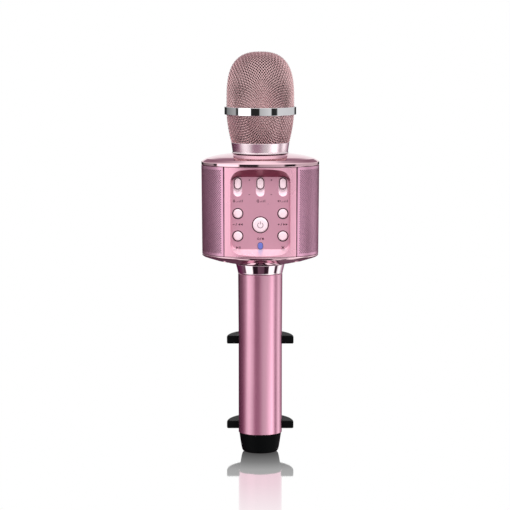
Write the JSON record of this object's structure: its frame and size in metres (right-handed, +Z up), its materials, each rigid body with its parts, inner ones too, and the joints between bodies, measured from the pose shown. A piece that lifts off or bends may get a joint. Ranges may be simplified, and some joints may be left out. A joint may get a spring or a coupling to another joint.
{
  "type": "karaoke microphone",
  "caption": "Hand-held karaoke microphone with a wire-mesh head, an oval loudspeaker body with sliders and buttons in a sunk pocket, and a sprung phone clamp on the back of its handle.",
  "frame": {"origin": "centre of the foot's flat face, on the surface that the microphone stands on", "axes": "+Z up the microphone to its head, -Y out of the control pocket, +Y towards the phone clamp"},
  "size_m": [0.0792, 0.0661, 0.271],
  "materials": {
    "rose_anodised": "satin anodised",
    "rose_plated": "mirror plated",
    "rose_gloss": "pearl gloss",
    "rose_mesh": "plated woven wire",
    "perforated_metal": "satin, finely perforated",
    "chrome": "polished",
    "pearl": "pearl",
    "black_plastic": "satin",
    "black_rubber": "matt",
    "foam": "open-cell foam",
    "frame_plastic": "moulded",
    "board": "solder mask",
    "steel": "zinc plated",
    "cone_paper": "pressed paper",
    "cell_wrap": "shrink wrapped",
    "light_blue": "clear light pipe"
  },
  "bodies": {
    "microphone": {"grille_upper": "rose_mesh", "grille_lower": "rose_mesh", "grille_ring": "chrome", "windscreen_foam": "foam", "mic_capsule": "steel", "capsule_cradle": "black_rubber", "neck_collar": "rose_plated", "top_cover": "rose_plated", "bottom_cover": "rose_plated", "front_panel": "rose_gloss", "rear_panel": "rose_gloss", "grille_left": "perforated_metal", "grille_right": "perforated_metal", "chassis": "frame_plastic", "driver_left": "steel", "driver_right": "steel", "cone_left": "cone_paper", "cone_right": "cone_paper", "main_board": "board", "socket_board": "board", "slider_pot_1": "frame_plastic", "slider_pot_2": "frame_plastic", "slider_pot_3": "frame_plastic", "switch_back": "frame_plastic", "switch_next": "frame_plastic", "switch_play": "frame_plastic", "switch_mode": "frame_plastic", "switch_power": "frame_plastic", "status_light": "light_blue", "status_led": "pearl", "charge_socket": "steel", "audio_socket": "black_plastic", "handle_collar": "rose_plated", "handle_tube": "rose_anodised", "foot_cap": "black_plastic", "battery_carrier": "frame_plastic", "battery_cell": "cell_wrap", "battery_spring": "steel", "clamp_base": "black_plastic", "jaw_pad_lower": "black_rubber", "clamp_spring": "steel", "body_screw_1": "steel", "body_screw_2": "steel", "body_screw_3": "steel", "body_screw_4": "steel", "clamp_screw_1": "steel", "clamp_screw_2": "steel"},
    "slider_1": {"slider_knob_1": "pearl"},
    "slider_2": {"slider_knob_2": "pearl"},
    "slider_3": {"slider_knob_3": "pearl"},
    "back_key": {"button_back": "pearl"},
    "next_key": {"button_next": "pearl"},
    "play_key": {"button_play": "pearl"},
    "mode_key": {"button_mode": "pearl"},
    "power_key": {"power_button": "pearl"},
    "sliding_jaw": {"upper_jaw": "black_plastic", "jaw_pad_upper": "black_rubber"}
  },
  "joints": [
    {"name": "slider_1_slide", "type": "slide", "parent": "microphone", "child": "slider_1", "axis": [0, 0, -1], "range_m": [0, 0.0044]},
    {"name": "slider_2_slide", "type": "slide", "parent": "microphone", "child": "slider_2", "axis": [0, 0, -1], "range_m": [0, 0.0044]},
    {"name": "slider_3_slide", "type": "slide", "parent": "microphone", "child": "slider_3", "axis": [0, 0, -1], "range_m": [0, 0.0044]},
    {"name": "back_press", "type": "slide", "parent": "microphone", "child": "back_key", "axis": [0, 1, 0], "range_m": [0, 0.0005], "stiffness_N_per_m": 1000},
    {"name": "next_press", "type": "slide", "parent": "microphone", "child": "next_key", "axis": [0, 1, 0], "range_m": [0, 0.0005], "stiffness_N_per_m": 1000},
    {"name": "play_press", "type": "slide", "parent": "microphone", "child": "play_key", "axis": [0, 1, 0], "range_m": [0, 0.0005], "stiffness_N_per_m": 1000},
    {"name": "mode_press", "type": "slide", "parent": "microphone", "child": "mode_key", "axis": [0, 1, 0], "range_m": [0, 0.0005], "stiffness_N_per_m": 1000},
    {"name": "power_press", "type": "slide", "parent": "microphone", "child": "power_key", "axis": [0, 1, 0], "range_m": [0, 0.0005], "stiffness_N_per_m": 1000},
    {"name": "jaw_slide", "type": "slide", "parent": "microphone", "child": "sliding_jaw", "axis": [0, 0, 1], "range_m": [0, 0.034], "stiffness_N_per_m": 60, "springref_m": -0.02, "deforming": ["clamp_spring"]}
  ]
}
